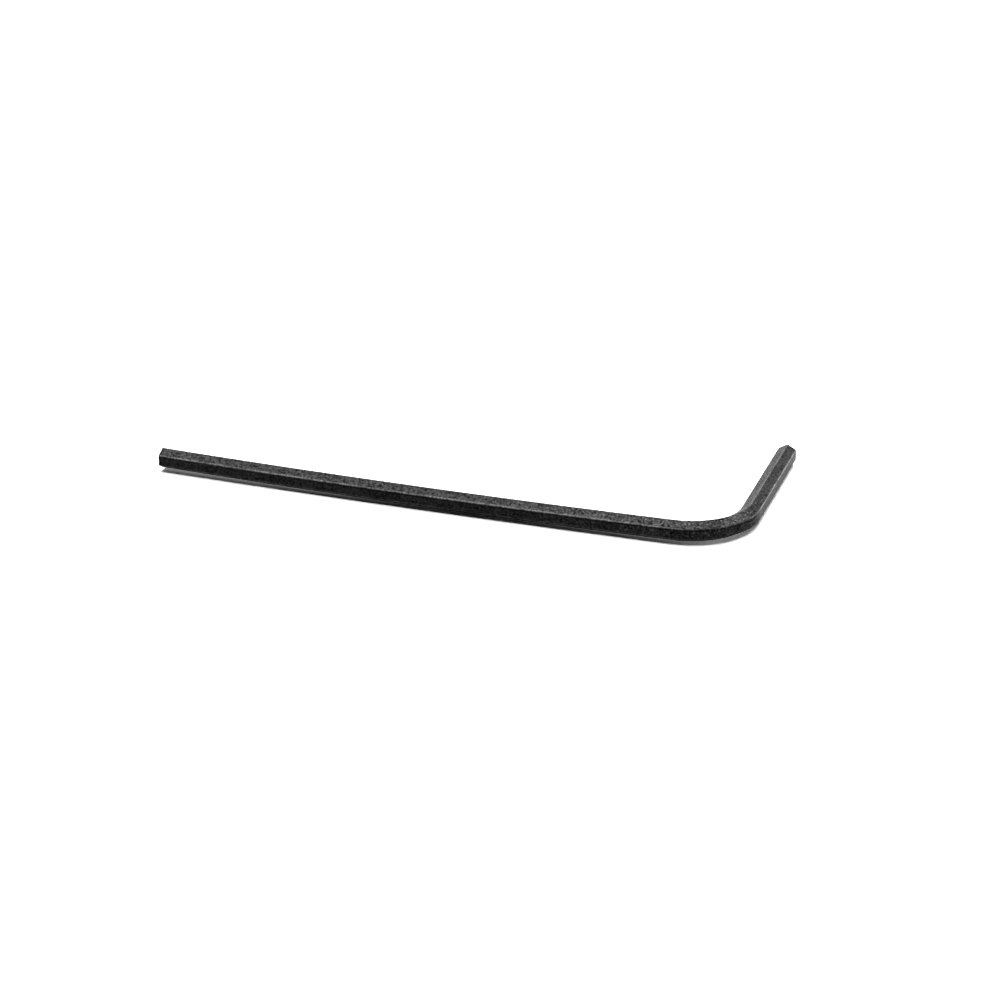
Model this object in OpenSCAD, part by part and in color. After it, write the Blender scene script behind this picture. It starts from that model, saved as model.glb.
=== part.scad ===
// Hex key: one hexagonal steel bar with a single right-angle bend, lying as it comes to rest.
// The long arm runs along X with its free end towards -X, and the short arm runs along +Y.
// The bar has two of its six corners facing up and down, so flats face the inside of the bend.
// Origin: middle of the footprint, on the surface that the key lies on.

/* [Bar] */
// Distance across the flats
across_flats = 1.27; // [0.9:0.01:3]
// Radius of the six long corners
corner_radius = 0.09; // [0.03:0.01:0.2]

/* [Arms] */
// Long arm, from its end face to the outer flat of the short arm
long_arm = 41.2; // [30:0.1:80]
// Short arm, from its end face to the outer flat of the long arm
short_arm = 15.9; // [11:0.1:28]
// Radius of the bend, at the bar's centre line
bend_radius = 4.2; // [2.5:0.1:8]

/* [Wear] */
// Depth of the slight bow of the long arm, which goes outwards and a little down between its ends
bow_depth = 0.25; // [0.05:0.01:0.5]

/* [Ends] */
// Size of the bevel that breaks the edges of both end faces
end_bevel = 0.06; // [0.02:0.01:0.12]

/* [Hidden] */

// Section of the bar
corner_steps = 4;
half_flats = across_flats / 2;
corner_centre = (half_flats - corner_radius) / cos(30);
half_corners = corner_centre + corner_radius;

// Centre line, from the crossing point of the two arms
long_reach = long_arm - half_flats;
short_reach = short_arm - half_flats;
long_run = long_reach - bend_radius;
short_run = short_reach - bend_radius;
bend_run = bend_radius * PI / 2;
bow_radius = (long_run * long_run / 4 + bow_depth * bow_depth) / (2 * bow_depth);
bow_angle = long_run / bow_radius * 180 / PI;
// The plane of the bow leans from upright by the larger acute angle of a 7-24-25 triangle
bow_lean = atan2(24, 7);
bend_steps = 24;
bow_steps = 24;

// Centre of mass of the centre line
bend_balance = bend_radius * (1 - 2 / PI);
bow_balance = long_run * long_run / (6 * bow_radius) * sin(bow_lean);
whole_run = long_run + bend_run + short_run;
long_moment = long_run * (bend_radius + long_run / 2) + bend_run * bend_balance;
short_moment = long_run * bow_balance + bend_run * bend_balance
    + short_run * (bend_radius + short_run / 2);
mass_along = long_moment / whole_run;
mass_across = short_moment / whole_run;

// The key lies on the belly of the bowed arm and on the tip of the short arm.
// Its centre of mass is above the line between those two points.
function belly_from(across) = mass_along * (short_reach - across) / (short_reach - mass_across);
function bow_across(along) = pow(along - bend_radius, 2) / (2 * bow_radius) * sin(bow_lean);
belly_along = belly_from(bow_across(belly_from(0)));
belly_angle = asin((belly_along - bend_radius) / bow_radius);
belly_drop = (bow_radius + half_corners * cos(bow_lean)) * (1 / cos(belly_angle) - 1)
    + bend_radius * tan(belly_angle);

// Turns that bring both resting points down to the floor
lean_reach = short_reach + belly_drop * sin(bow_lean);
pitch = atan(tan(belly_angle) * cos(bow_lean) * short_reach / lean_reach);
roll = atan(cos(pitch) * cos(bow_lean) * belly_drop / lean_reach);
floor_height = -half_corners * cos(pitch) - short_reach * tan(roll);

function arc_points(centre, radius, from_angle, to_angle, steps) = [
    for (step = [0:steps])
        let (angle = from_angle + (to_angle - from_angle) * step / steps)
            centre + radius * [cos(angle), sin(angle)]
];

function section_points() = [
    for (corner = [30:60:330])
        each arc_points(
            corner_centre * [cos(corner), sin(corner)],
            corner_radius,
            corner - 30,
            corner + 30,
            corner_steps
        )
];

// Hexagon with rounded corners, two of them on the Y axis
module section() {
    polygon(section_points());
}

// Places what is drawn at the origin, facing +Z, on the short arm's end face
module at_short_end() {
    translate([0, short_reach, 0])
        rotate([-90, 0, 0])
            children();
}

// The bowed arm is an arc of very large radius that leaves the bend at a tangent
module in_bow_frame() {
    translate([-bend_radius, 0, 0])
        rotate([-bow_lean, 0, 0])
            translate([0, 0, bow_radius])
                rotate([-90, 90, 0])
                    children();
}

// Places what is drawn at the origin, facing +Z, on the long arm's end face
module at_long_end() {
    in_bow_frame()
        rotate([0, 0, bow_angle])
            translate([bow_radius, 0, 0])
                rotate([-90, 0, 0])
                    rotate([0, 0, 90 - bow_lean])
                        children();
}

// Two wedges that break the edges of an end face along one flat and the flat opposite,
// each reaching well past the bar
module edge_wedges(flat) {
    for (side = [0, 180])
        rotate([0, 0, flat + side])
            translate([half_flats, 0, 0])
                rotate([90, 0, 0])
                    linear_extrude(across_flats, center = true)
                        polygon([
                            [-end_bevel - half_flats, half_flats],
                            [half_flats, -end_bevel - half_flats],
                            [half_flats, half_flats]
                        ]);
}

// The straight arm starts on the end face of the bend
module short_arm_bar() {
    difference() {
        translate([0, bend_radius, 0])
            rotate([-90, 0, 0])
                linear_extrude(short_run)
                    section();
        at_short_end() edge_wedges(0);
        at_short_end() edge_wedges(60);
        at_short_end() edge_wedges(120);
    }
}

module bend() {
    translate([-bend_radius, bend_radius, 0])
        rotate([0, 0, -90])
            rotate_extrude(angle = 90, $fn = 4 * bend_steps)
                translate([bend_radius, 0])
                    section();
}

module long_arm_bar() {
    difference() {
        in_bow_frame()
            rotate_extrude(angle = bow_angle, $fn = ceil(bow_steps * 360 / bow_angle))
                translate([bow_radius, 0])
                    rotate(90 + bow_lean)
                        section();
        at_long_end() edge_wedges(0);
        at_long_end() edge_wedges(60);
        at_long_end() edge_wedges(120);
    }
}

// The key in the plane of its bend, with the crossing point of the arms at the origin
module key_in_bend_plane() {
    short_arm_bar();
    bend();
    long_arm_bar();
}

module hex_key() {
    color("#38383b")
        translate([(long_reach - half_flats) / 2, (half_flats - short_reach) / 2, 0])
            rotate([-roll, 0, 0])
                translate([0, 0, -floor_height])
                    rotate([0, -pitch, 0])
                        key_in_bend_plane();
}

hex_key();
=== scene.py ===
import math

import bpy
from mathutils import Matrix, Vector


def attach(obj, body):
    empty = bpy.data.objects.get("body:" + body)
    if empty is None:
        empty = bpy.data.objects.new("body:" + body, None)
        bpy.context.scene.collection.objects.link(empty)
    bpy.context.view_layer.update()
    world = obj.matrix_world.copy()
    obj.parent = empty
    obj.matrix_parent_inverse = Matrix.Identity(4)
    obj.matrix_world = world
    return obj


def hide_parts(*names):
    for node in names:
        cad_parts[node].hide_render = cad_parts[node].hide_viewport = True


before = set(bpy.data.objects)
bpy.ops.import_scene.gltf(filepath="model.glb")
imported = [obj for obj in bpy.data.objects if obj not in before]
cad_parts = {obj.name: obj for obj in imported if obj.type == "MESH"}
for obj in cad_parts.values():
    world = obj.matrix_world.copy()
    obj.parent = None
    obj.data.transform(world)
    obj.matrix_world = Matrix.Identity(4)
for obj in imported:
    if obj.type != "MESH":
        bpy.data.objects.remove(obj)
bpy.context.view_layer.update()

# The hex key as the photo shows it: a finer mesh of the same form, its worn black oxide with
# painted highlights and shade, and the floor, the light and the camera
MM = 0.001

# Form: the same values and the same steps as the part's source, in millimetres
ACROSS_FLATS = 1.27
CORNER_RADIUS = 0.09
LONG_ARM = 41.2
SHORT_ARM = 15.9
BEND_RADIUS = 4.2
BOW_DEPTH = 0.25
END_BEVEL = 0.06

# Degrees from one corner of the section to the next, and from a corner to the next flat
CORNER_TURN = 60
FLAT_TURN = 30
BOTTOM_CORNER = 270

HALF_FLATS = ACROSS_FLATS / 2
CORNER_CENTRE = (HALF_FLATS - CORNER_RADIUS) / math.cos(math.radians(FLAT_TURN))
HALF_CORNERS = CORNER_CENTRE + CORNER_RADIUS

LONG_REACH = LONG_ARM - HALF_FLATS
SHORT_REACH = SHORT_ARM - HALF_FLATS
LONG_RUN = LONG_REACH - BEND_RADIUS
SHORT_RUN = SHORT_REACH - BEND_RADIUS
BEND_RUN = BEND_RADIUS * math.pi / 2
WHOLE_RUN = LONG_RUN + BEND_RUN + SHORT_RUN
BOW_RADIUS = (LONG_RUN ** 2 / 4 + BOW_DEPTH ** 2) / (2 * BOW_DEPTH)

# The plane of the bow leans from upright by the larger acute angle of a 7-24-25 triangle
LEAN_SIN, LEAN_COS = 24 / 25, 7 / 25

# Centre of mass of the centre line, from the crossing point of the two arms
BEND_BALANCE = BEND_RADIUS * (1 - 2 / math.pi)
BOW_BALANCE = LONG_RUN ** 2 / (6 * BOW_RADIUS) * LEAN_SIN
LONG_MOMENT = LONG_RUN * (BEND_RADIUS + LONG_RUN / 2) + BEND_RUN * BEND_BALANCE
SHORT_MOMENT = (
    LONG_RUN * BOW_BALANCE
    + BEND_RUN * BEND_BALANCE
    + SHORT_RUN * (BEND_RADIUS + SHORT_RUN / 2)
)
MASS_ALONG = LONG_MOMENT / WHOLE_RUN
MASS_ACROSS = SHORT_MOMENT / WHOLE_RUN


def belly_from(across):
    """Where the bowed arm touches the floor, if its belly is this far towards the short arm."""
    return MASS_ALONG * (SHORT_REACH - across) / (SHORT_REACH - MASS_ACROSS)


# Turns that bring the belly of the bow and the tip of the short arm down to the floor
BELLY_ACROSS = (belly_from(0) - BEND_RADIUS) ** 2 / (2 * BOW_RADIUS) * LEAN_SIN
BELLY_ANGLE = math.asin((belly_from(BELLY_ACROSS) - BEND_RADIUS) / BOW_RADIUS)
BELLY_DROP = (
    (BOW_RADIUS + HALF_CORNERS * LEAN_COS) * (1 / math.cos(BELLY_ANGLE) - 1)
    + BEND_RADIUS * math.tan(BELLY_ANGLE)
)
LEAN_REACH = SHORT_REACH + BELLY_DROP * LEAN_SIN
PITCH = math.atan(math.tan(BELLY_ANGLE) * LEAN_COS * SHORT_REACH / LEAN_REACH)
ROLL = math.atan(math.cos(PITCH) * LEAN_COS * BELLY_DROP / LEAN_REACH)
FLOOR_HEIGHT = -HALF_CORNERS * math.cos(PITCH) - SHORT_REACH * math.tan(ROLL)

REST = (
    Matrix.Translation(((LONG_REACH - HALF_FLATS) / 2, (HALF_FLATS - SHORT_REACH) / 2, 0))
    @ Matrix.Rotation(-ROLL, 4, "X")
    @ Matrix.Translation((0, 0, -FLOOR_HEIGHT))
    @ Matrix.Rotation(-PITCH, 4, "Y")
)

# Steps of the mesh: along the bar in millimetres, and counts of steps round a corner,
# across a flat and over the broken edge, and of rings on each end face
RING_STEP = 0.11
CORNER_STEPS = 8
FLAT_STEPS = 5
BEVEL_STEPS = 6
FACE_RINGS = 6

# How far each corner is rubbed and lit by a painted highlight, and how dark the painted shade
# line beside it is, by the corner's angle round the bar from the outer side
LONG_ARM_CORNERS = {
    30: (1.0, 1.0),
    90: (0.12, 0.25),
    150: (0.12, 0.6),
    210: (0.4, 0.6),
    270: (0.4, 0.6),
    330: (0.5, 0.6),
}
SHORT_ARM_CORNERS = {
    30: (1.3, 0.8),
    90: (0.45, 0.1),
    150: (0.2, 0.6),
    210: (0.4, 0.6),
    270: (0.4, 0.6),
    330: (0.5, 0.6),
}
# Late in the bend, the corners change over from the long arm's values to the short arm's
CHANGE_START = LONG_RUN + 0.75 * BEND_RUN
CHANGE_LENGTH = 1.5
# An end face is as far from the corners as can be: no rubbing, painted highlight or shade line
FACE_CORNER = (FLAT_TURN, 0.0, 0.0)


def clamp(value, low, high):
    return max(low, min(high, value))


def rounding_point(corner, angle):
    """The point that faces this angle on the rounding of a corner, both angles in degrees."""
    c, a = math.radians(corner), math.radians(angle)
    return (
        CORNER_CENTRE * math.cos(c) + CORNER_RADIUS * math.cos(a),
        CORNER_CENTRE * math.sin(c) + CORNER_RADIUS * math.sin(a),
    )


def section_points():
    """(side, height) of each point round the section, from the bottom corner on."""
    points = []
    for corner in range(BOTTOM_CORNER, BOTTOM_CORNER + 360, CORNER_TURN):
        for step in range(CORNER_STEPS + 1):
            turned = CORNER_TURN * step / CORNER_STEPS - FLAT_TURN
            points.append(rounding_point(corner, corner + turned))
        start, end = points[-1], rounding_point(corner + CORNER_TURN, corner + FLAT_TURN)
        for step in range(1, FLAT_STEPS):
            t = step / FLAT_STEPS
            points.append(tuple(a + (b - a) * t for a, b in zip(start, end)))
    return points


def distances_round(points):
    """How far round the section each of its points is."""
    distances = [0.0]
    for a, b in zip(points, points[1:]):
        distances.append(distances[-1] + math.dist(a, b))
    return distances


SECTION = section_points()
ROUND_SECTION = distances_round(SECTION)


def centre_line(s):
    """Point, side direction and height direction at distance s from the long arm's end face."""
    if s <= LONG_RUN:
        a = (LONG_RUN - s) / BOW_RADIUS
        to_centre = Vector((math.sin(a), math.cos(a) * LEAN_SIN, math.cos(a) * LEAN_COS))
        across = Vector((0, LEAN_COS, -LEAN_SIN))
        bow_centre = Vector((-BEND_RADIUS, BOW_RADIUS * LEAN_SIN, BOW_RADIUS * LEAN_COS))
        side = -LEAN_SIN * to_centre - LEAN_COS * across
        up = LEAN_COS * to_centre - LEAN_SIN * across
        return bow_centre - BOW_RADIUS * to_centre, side, up
    up = Vector((0, 0, 1))
    s -= LONG_RUN
    if s <= BEND_RUN:
        a = s / BEND_RADIUS
        out = Vector((math.sin(a), -math.cos(a), 0))
        return Vector((-BEND_RADIUS, BEND_RADIUS, 0)) + BEND_RADIUS * out, out, up
    s -= BEND_RUN
    return Vector((0, BEND_RADIUS + s, 0)), Vector((1, 0, 0)), up


def end_inset(s):
    """How far the broken edge at either end draws the flats in at distance s along the bar."""
    t = min(s, WHOLE_RUN - s)
    if t >= END_BEVEL:
        return 0.0
    return END_BEVEL * (1 - math.sin(math.acos(1 - t / END_BEVEL)))


def ring_distances():
    """Distances along the bar at which it has a ring of points, close together at both ends."""
    quarter_turns = [math.radians(90 * i / BEVEL_STEPS) for i in range(BEVEL_STEPS + 1)]
    ends = [END_BEVEL * (1 - math.cos(turn)) for turn in quarter_turns]
    stops = [END_BEVEL, LONG_RUN, LONG_RUN + BEND_RUN, WHOLE_RUN - END_BEVEL]
    distances = ends[:-1]
    for a, b in zip(stops, stops[1:]):
        steps = max(1, round((b - a) / RING_STEP))
        distances += [a + (b - a) * i / steps for i in range(steps)]
    return distances + [WHOLE_RUN - end for end in reversed(ends)]


def drawn_in(x, y, inset):
    """A section point, kept inside the smaller hexagon that the broken edge leaves."""
    if inset <= 0:
        return x, y
    from_flat = math.degrees(math.atan2(y, x)) % CORNER_TURN
    if from_flat >= FLAT_TURN:
        from_flat -= CORNER_TURN
    reach = (HALF_FLATS - inset) / math.cos(math.radians(from_flat))
    k = min(1.0, reach / math.hypot(x, y))
    return x * k, y * k


def nearest_corner(x, y, s):
    """Degrees from the nearest corner, how far it is rubbed and painted with a highlight, and
    how dark the painted shade line here is.
    """
    angle = math.degrees(math.atan2(y, x)) % 360
    corner = FLAT_TURN + CORNER_TURN * (int(angle // CORNER_TURN) % len(LONG_ARM_CORNERS))
    off = angle - corner
    t = clamp((s - CHANGE_START) / CHANGE_LENGTH, 0.0, 1.0)
    rubbed_and_highlit, line_shade = (
        a + (b - a) * t for a, b in zip(LONG_ARM_CORNERS[corner], SHORT_ARM_CORNERS[corner])
    )
    # The painted shade line lies on the side of the corner that faces down or outwards
    on_line_side = 0.5 - 0.5 * clamp(off, -1.0, 1.0)
    return abs(off), rubbed_and_highlit, line_shade * on_line_side


def bar_ring(s):
    """The ring at distance s: each point's place, and the two vectors that the material reads.

    The first holds the distances along the bar and round it, and the second is its corner's.
    """
    point, side, up = centre_line(s)
    ring = []
    for (x, y), distance_round in zip(SECTION, ROUND_SECTION):
        x1, y1 = drawn_in(x, y, end_inset(s))
        place = REST @ (point + side * x1 + up * y1) * MM
        ring.append((place, (s, distance_round, 0), nearest_corner(x, y, s)))
    return ring


def face_ring(s, scale):
    """A smaller ring on an end face, where the distance along the bar goes on past the end.

    The first vector holds the place on the face instead of the distance round the bar.
    """
    point, side, up = centre_line(s)
    past = (1 - scale) * HALF_FLATS
    ring = []
    for x, y in SECTION:
        x1, y1 = (c * scale for c in drawn_in(x, y, END_BEVEL))
        place = REST @ (point + side * x1 + up * y1) * MM
        ring.append((place, (s + past if s > 0 else -past, x1, y1), FACE_CORNER))
    return ring


def face_middle(s):
    """The middle of the end face at distance s, with the same vectors as a ring's point."""
    point, _, _ = centre_line(s)
    return REST @ point * MM, (s + HALF_FLATS if s > 0 else -HALF_FLATS, 0, 0), FACE_CORNER


def make_bar():
    scales = [1 - (i + 1) / (FACE_RINGS + 1) for i in range(FACE_RINGS)]
    rings = [face_ring(0.0, scale) for scale in reversed(scales)]
    rings += [bar_ring(s) for s in ring_distances()]
    rings += [face_ring(WHOLE_RUN, scale) for scale in scales]
    points = [point for ring in rings for point in ring]

    rim = len(SECTION)
    last_ring = len(points) - rim
    sides = [(i, (i + 1) % rim) for i in range(rim)]
    faces = []
    for ring in range(0, last_ring, rim):
        following = ring + rim
        faces += [(ring + i, following + i, following + j, ring + j) for i, j in sides]
    long_end, short_end = len(points), len(points) + 1
    points += [face_middle(0.0), face_middle(WHOLE_RUN)]
    faces += [(long_end, i, j) for i, j in sides]
    faces += [(short_end, last_ring + j, last_ring + i) for i, j in sides]

    mesh = bpy.data.meshes.new("key_bar")
    mesh.from_pydata([tuple(place) for place, _, _ in points], [], faces)
    mesh.validate()
    attribute = mesh.attributes.new("bar", "FLOAT_VECTOR", "POINT")
    attribute.data.foreach_set("vector", [c * MM for _, bar, _ in points for c in bar])
    attribute = mesh.attributes.new("corner", "FLOAT_VECTOR", "POINT")
    attribute.data.foreach_set("vector", [c for _, _, corner in points for c in corner])
    mesh.polygons.foreach_set("use_smooth", [True] * len(mesh.polygons))
    mesh.update()
    piece = bpy.data.objects.new("key_bar", mesh)
    bpy.context.scene.collection.objects.link(piece)
    return piece


# Where a mix node has its two colours and its mixed colour
MIX_COLOURS = (6, 7)
MIX_RESULT = 2


class Nodes:
    """Short calls for building the node tree of a material or the world."""

    def __init__(self, owner):
        owner.use_nodes = True
        self.tree = owner.node_tree
        self.tree.nodes.clear()

    def add(self, kind, **settings):
        node = self.tree.nodes.new(kind)
        for name, value in settings.items():
            setattr(node, name, value)
        return node

    def put(self, socket, value):
        if isinstance(value, bpy.types.NodeSocket):
            self.tree.links.new(value, socket)
        else:
            socket.default_value = value

    def math(self, operation, first, *others):
        """The operation on the first two values, then on its result and the next value."""
        result = first
        for value in others:
            node = self.add("ShaderNodeMath", operation=operation)
            self.put(node.inputs[0], result)
            self.put(node.inputs[1], value)
            result = node.outputs[0]
        return result

    def ramp(self, value, limits, results):
        """Goes from one result to the other between the limits, and stays at them outside."""
        node = self.add("ShaderNodeMapRange")
        self.put(node.inputs["Value"], value)
        node.inputs["From Min"].default_value, node.inputs["From Max"].default_value = limits
        node.inputs["To Min"].default_value, node.inputs["To Max"].default_value = results
        return node.outputs["Result"]

    def split(self, attribute_name):
        """The attribute as a vector, and its three parts."""
        vector = self.add("ShaderNodeAttribute", attribute_name=attribute_name).outputs["Vector"]
        node = self.add("ShaderNodeSeparateXYZ")
        self.put(node.inputs[0], vector)
        return vector, node.outputs

    def noise(self, vector, scale, detail=2.0, roughness=0.5):
        node = self.add("ShaderNodeTexNoise")
        self.put(node.inputs["Vector"], vector)
        node.inputs["Scale"].default_value = scale
        node.inputs["Detail"].default_value = detail
        node.inputs["Roughness"].default_value = roughness
        return node.outputs["Fac"]

    def stretched_noise(self, vector, scales):
        node = self.add("ShaderNodeMapping", vector_type="POINT")
        self.put(node.inputs["Vector"], vector)
        node.inputs["Scale"].default_value = scales
        return self.noise(node.outputs["Vector"], 1.0)

    def mix(self, factor, a, b):
        node = self.add("ShaderNodeMix", data_type="RGBA")
        self.put(node.inputs[0], factor)
        for socket, value in zip(MIX_COLOURS, (a, b)):
            if not isinstance(value, bpy.types.NodeSocket):
                value = (*value, 1)
            self.put(node.inputs[socket], value)
        return node.outputs[MIX_RESULT]

    def output(self, kind, shader):
        self.put(self.add(kind).inputs[0], shader.outputs[0])


def grey(level):
    return (level, level, level)


# Scales of the oxide's noises, in waves per metre, the last two along the bar and round it
SPECK_SCALE = 6200
BLOTCH_SCALE = 900
POINT_SCALE = 7600
FINE_SCALE = 6000
MARK_SCALES = (500, 6500, 1)
PATCH_SCALES = (700, 1500, 1)

# Shares of the specks, of the marks along the bar and of the blotches in the grain
SPECK_SHARE, MARK_SHARE, BLOTCH_SHARE = 0.66, 0.2, 0.14

# Colours of the oxide where it is thick, also used for painted shade, and where it is thin, of
# its bright points, and of rubbed steel, also used for painted highlights on the corners
THICK_OXIDE_AND_SHADE_COLOUR = grey(0.003)
THIN_COLOUR = (0.029, 0.029, 0.0293)
POINT_COLOUR = grey(0.115)
RUBBED_AND_HIGHLIT_COLOUR = grey(0.38)

# What bright points and rubbed corners with painted highlights add to the specular level
POINT_SHINE = 0.31
RUBBED_AND_HIGHLIT_SHINE = 0.26

# How much of the oxide's colour the points and the rubbed corners with their painted highlights
# cover, and how much of its shine and colour the painted shade lines and rims take away
POINT_COVER = 0.6
RUBBED_AND_HIGHLIT_COVER = 0.8
SHADE_LINE_DEPTH = 0.9
SHADE_RIM_DEPTH = 0.7

BUMP_STRENGTH = 0.7
BUMP_HEIGHT = 0.006

# Ramps, each with the two limits of a value and the results at them. These go by a noise.
GRAIN_TO_SHINE = (0.42, 0.58), (0.014, 0.24)
GRAIN_TO_COLOUR = (0.42, 0.62), (0.0, 1.0)
SPECKS_TO_ROUGHNESS = (0.3, 0.7), (0.16, 0.27)
NOISE_TO_POINTS = (0.56, 0.7), (0.0, 1.0)
SPECKS_TO_RUBBING_AND_HIGHLIGHT = (0.35, 0.65), (0.4, 1.3)
PATCHES_TO_RUBBING_AND_HIGHLIGHT = (0.35, 0.6), (0.5, 1.2)

# By degrees from a corner: the rubbed edge with its painted highlight, what is faintly rubbed
# and highlit, and the painted shade line
RUBBED_AND_HIGHLIT_EDGE = (4.2, 3.2), (0.0, 1.0)
FAINTLY_RUBBED_AND_HIGHLIT = (13.0, 4.0), (0.0, 0.12)
SHADE_LINE_BEGINS = (3.2, 4.2), (0.0, 1.0)
SHADE_LINE_ENDS = (15.0, 10.0), (0.0, 1.0)

# By millimetres from the long arm's end
POINTS_COME = (20.0, 34.0), (0.25, 1.0)
POINTS_GO = (50.0, 44.0), (0.3, 1.0)
BEND_BEGINS = (35.5, 38.0), (0.0, 1.0)
BEND_ENDS = (42.8, 41.2), (0.0, 1.0)
SHADE_LINES_DEEPEN = (4.0, 16.0), (0.3, 1.0)

# By millimetres from the nearer end: the painted shade at the rim, along the bar and in from the
# face's edge
SHADE_RIM_ON_BAR = (0.28, 0.14), (0.0, 1.0)
SHADE_RIM_ON_FACE = (-0.2, -0.05), (0.0, 1.0)

# By how far a place is in the bend
BEND_TO_RUBBING_AND_HIGHLIGHT = (0.0, 1.0), (1.0, 0.2)


def blackened_steel():
    material = bpy.data.materials.new("blackened_steel")
    n = Nodes(material)
    place = n.add("ShaderNodeTexCoord").outputs["Object"]
    bar, (along_in_metres, _, _) = n.split("bar")
    along = n.math("DIVIDE", along_in_metres, MM)
    _, (from_corner, wear_and_highlight, shade_line) = n.split("corner")

    # Grain of the oxide: fine specks, faint marks along the bar, and slow changes between them
    specks = n.noise(place, SPECK_SCALE, roughness=0.6)
    grain = n.math(
        "ADD",
        n.math("MULTIPLY", specks, SPECK_SHARE),
        n.math("MULTIPLY", n.stretched_noise(bar, MARK_SCALES), MARK_SHARE),
        n.math("MULTIPLY", n.noise(place, BLOTCH_SCALE), BLOTCH_SHARE),
    )

    # Bright points, most of them at the bend and just before it
    points = n.math(
        "MULTIPLY",
        n.ramp(n.noise(place, POINT_SCALE, detail=1.0), *NOISE_TO_POINTS),
        n.ramp(along, *POINTS_COME),
        n.ramp(along, *POINTS_GO),
    )

    # The corners are rubbed and painted with highlights in patches, and hardly at all in the
    # bend
    edge = n.math(
        "MAXIMUM", n.ramp(from_corner, *RUBBED_AND_HIGHLIT_EDGE), n.ramp(from_corner, *FAINTLY_RUBBED_AND_HIGHLIT)
    )
    in_bend = n.math("MULTIPLY", n.ramp(along, *BEND_BEGINS), n.ramp(along, *BEND_ENDS))
    rubbed_and_highlit = n.math(
        "MULTIPLY",
        edge,
        wear_and_highlight,
        n.ramp(specks, *SPECKS_TO_RUBBING_AND_HIGHLIGHT),
        n.ramp(n.stretched_noise(bar, PATCH_SCALES), *PATCHES_TO_RUBBING_AND_HIGHLIGHT),
        n.ramp(in_bend, *BEND_TO_RUBBING_AND_HIGHLIGHT),
    )

    # Painted shade: a darker, less shiny line beside the corners, and round the rims of both end
    # faces
    shade_beside_corners = n.math(
        "MULTIPLY",
        n.ramp(from_corner, *SHADE_LINE_BEGINS),
        n.ramp(from_corner, *SHADE_LINE_ENDS),
        shade_line,
        n.ramp(along, *SHADE_LINES_DEEPEN),
    )
    from_end = n.math("MINIMUM", along, n.math("SUBTRACT", WHOLE_RUN, along))
    shade_at_rim = n.math("MULTIPLY", n.ramp(from_end, *SHADE_RIM_ON_BAR), n.ramp(from_end, *SHADE_RIM_ON_FACE))
    painted_shade = n.math(
        "MAXIMUM",
        n.math("MULTIPLY", shade_beside_corners, SHADE_LINE_DEPTH),
        n.math("MULTIPLY", shade_at_rim, SHADE_RIM_DEPTH),
    )
    unshaded = n.math("SUBTRACT", 1.0, painted_shade)

    shine = n.math(
        "ADD",
        n.math("MULTIPLY", n.ramp(grain, *GRAIN_TO_SHINE), unshaded),
        n.math("MULTIPLY", rubbed_and_highlit, RUBBED_AND_HIGHLIT_SHINE),
        n.math("MULTIPLY", points, POINT_SHINE),
    )
    fine_grain = n.ramp(n.noise(place, FINE_SCALE, detail=1.0), *GRAIN_TO_COLOUR)
    # Fine grain darkens the oxide, and the painted shade takes it to the darkest colour
    colour = n.mix(n.math("MULTIPLY", fine_grain, unshaded), THICK_OXIDE_AND_SHADE_COLOUR, THIN_COLOUR)
    colour = n.mix(n.math("MULTIPLY", points, POINT_COVER), colour, POINT_COLOUR)
    # Rubbed steel covers the corners, and paints their highlights too
    colour = n.mix(n.math("MULTIPLY", rubbed_and_highlit, RUBBED_AND_HIGHLIT_COVER), colour, RUBBED_AND_HIGHLIT_COLOUR)

    bump = n.add("ShaderNodeBump")
    bump.inputs["Strength"].default_value = BUMP_STRENGTH
    bump.inputs["Distance"].default_value = BUMP_HEIGHT * MM
    n.put(bump.inputs["Height"], specks)

    shader = n.add("ShaderNodeBsdfPrincipled")
    n.put(shader.inputs["Base Color"], colour)
    n.put(shader.inputs["Roughness"], n.ramp(specks, *SPECKS_TO_ROUGHNESS))
    n.put(shader.inputs["Specular IOR Level"], shine)
    n.put(shader.inputs["Normal"], bump.outputs[0])
    n.output("ShaderNodeOutputMaterial", shader)
    return material


# Levels of the floor as the camera sees it, as metal shows it and as it lights the bar
FLOOR_SEEN = 2.0
FLOOR_REFLECTED = 0.6
FLOOR_BOUNCE = 0.3


def pale_floor():
    material = bpy.data.materials.new("pale_floor")
    n = Nodes(material)
    path = n.add("ShaderNodeLightPath").outputs
    reflected = n.math("MAXIMUM", path["Is Glossy Ray"], path["Is Transmission Ray"])
    colour = n.mix(reflected, grey(FLOOR_BOUNCE), grey(FLOOR_REFLECTED))
    shader = n.add("ShaderNodeBsdfDiffuse")
    n.put(shader.inputs["Color"], n.mix(path["Is Camera Ray"], colour, grey(FLOOR_SEEN)))
    n.output("ShaderNodeOutputMaterial", shader)
    return material


key = make_bar()
key.data.materials.append(blackened_steel())
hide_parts("hex_key")
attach(key, "root")

# The floor stays just clear of the two points that the key rests on
FLOOR_SIZE = 3.0
FLOOR_GAP = 0.002 * MM

bpy.ops.mesh.primitive_plane_add(size=FLOOR_SIZE, location=(0, 0, -FLOOR_GAP))
floor = bpy.context.active_object
floor.name = "floor"
floor.data.materials.append(pale_floor())

# The room looks white to the camera and in metal, and gives hardly any light itself
WORLD_LIGHT = 0.003


def white_world():
    world = bpy.data.worlds.new("white_room")
    bpy.context.scene.world = world
    n = Nodes(world)
    path = n.add("ShaderNodeLightPath").outputs
    shown = n.math(
        "MAXIMUM", path["Is Camera Ray"], path["Is Glossy Ray"], path["Is Transmission Ray"]
    )
    background = n.add("ShaderNodeBackground")
    n.put(background.inputs["Strength"], n.ramp(shown, (0.0, 1.0), (WORLD_LIGHT, 1.0)))
    n.output("ShaderNodeOutputWorld", background)


white_world()

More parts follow.
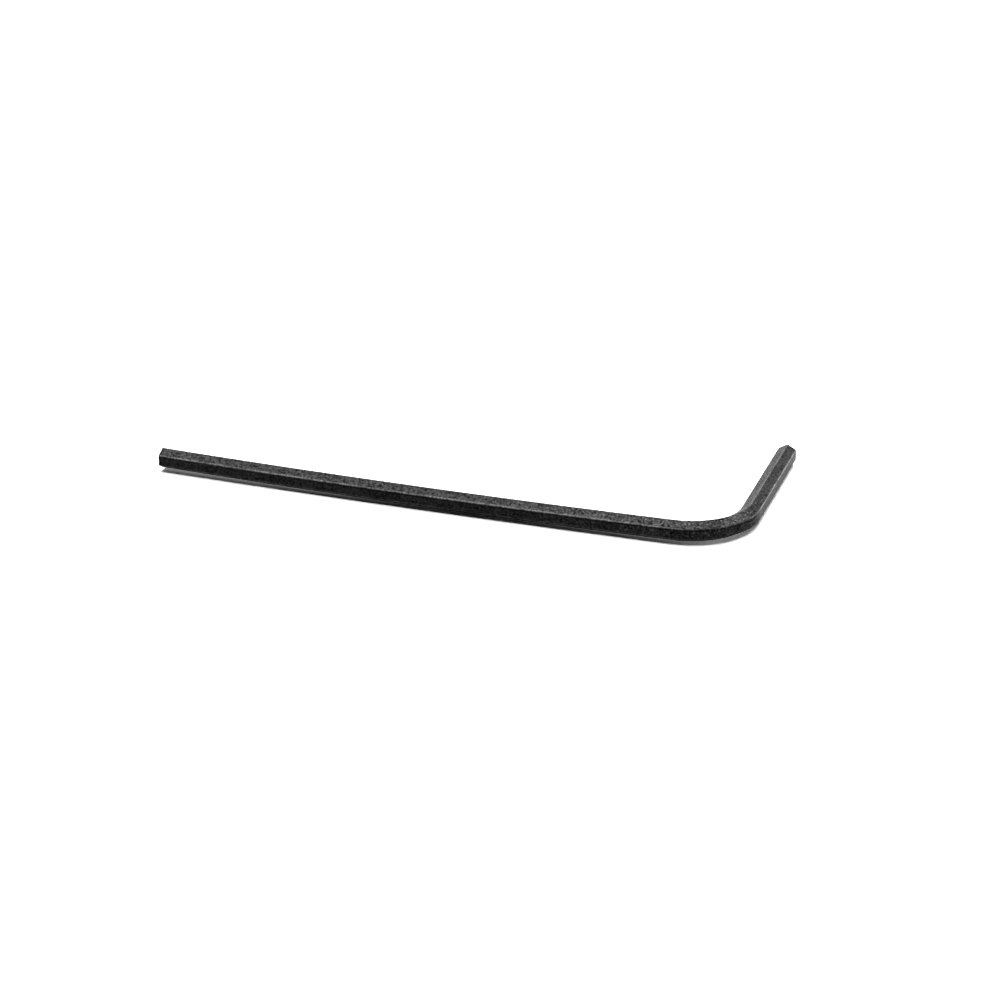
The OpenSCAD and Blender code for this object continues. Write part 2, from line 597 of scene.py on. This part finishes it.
# Place, what the lamp aims at, size in metres, radiance of its face, and whether metal
# shows the lamp
KEY_MIDDLE = (0.0, 0.0, 0.0)
SOFTBOXES = {
    "top_softbox": ((-0.03, 0.08, 0.35), (-0.03, 0.08, 0.0), (0.46, 0.36), 3.64, True),
    "upper_back_softbox": ((0.06, 0.45, 0.45), KEY_MIDDLE, (0.6, 0.24), 1.7, True),
    "low_back_softbox": ((0.0, 0.9, 0.065), KEY_MIDDLE, (1.8, 0.12), 5.0, False),
    "back_softbox": ((0.0, 0.7, 0.25), KEY_MIDDLE, (0.8, 0.3), 0.8, False),
    "right_softbox": ((0.7, -0.01, 0.2), KEY_MIDDLE, (0.3, 0.36), 3.4, False),
    "left_softbox": ((-0.55, 0.45, 0.15), KEY_MIDDLE, (0.8, 0.3), 1.0, False),
}


def look_at(piece, place, aim):
    piece.location = place
    piece.rotation_mode = "QUATERNION"
    piece.rotation_quaternion = (Vector(aim) - Vector(place)).to_track_quat("-Z", "Y")


for name, (place, aim, size, radiance, in_metal) in SOFTBOXES.items():
    lamp_data = bpy.data.lights.new(name, "AREA")
    lamp_data.shape = "RECTANGLE"
    lamp_data.size, lamp_data.size_y = size
    lamp_data.energy = radiance * math.pi * size[0] * size[1]
    lamp = bpy.data.objects.new(name, lamp_data)
    bpy.context.scene.collection.objects.link(lamp)
    look_at(lamp, place, aim)
    lamp.visible_camera = False
    lamp.visible_glossy = in_metal

# The camera that was fitted to the photo, with its lens and sensor in millimetres and the
# distances between which it sees in metres
LENS = 91.8
SENSOR = 36.0
CAMERA_PLACE = Vector((52.093, -153.361, 66.471)) * MM
CAMERA_AIM = Vector((3.142, -4.362, -0.016)) * MM
CLIP_NEAR, CLIP_FAR = 0.005, 10.0

camera_data = bpy.data.cameras.new("camera")
camera_data.lens = LENS
camera_data.sensor_width = SENSOR
camera_data.clip_start = CLIP_NEAR
camera_data.clip_end = CLIP_FAR
camera = bpy.data.objects.new("camera", camera_data)
bpy.context.scene.collection.objects.link(camera)
look_at(camera, CAMERA_PLACE, CAMERA_AIM)
bpy.context.scene.camera = camera

bpy.context.scene.view_settings.view_transform = "Standard"

bpy.context.view_layer.update()
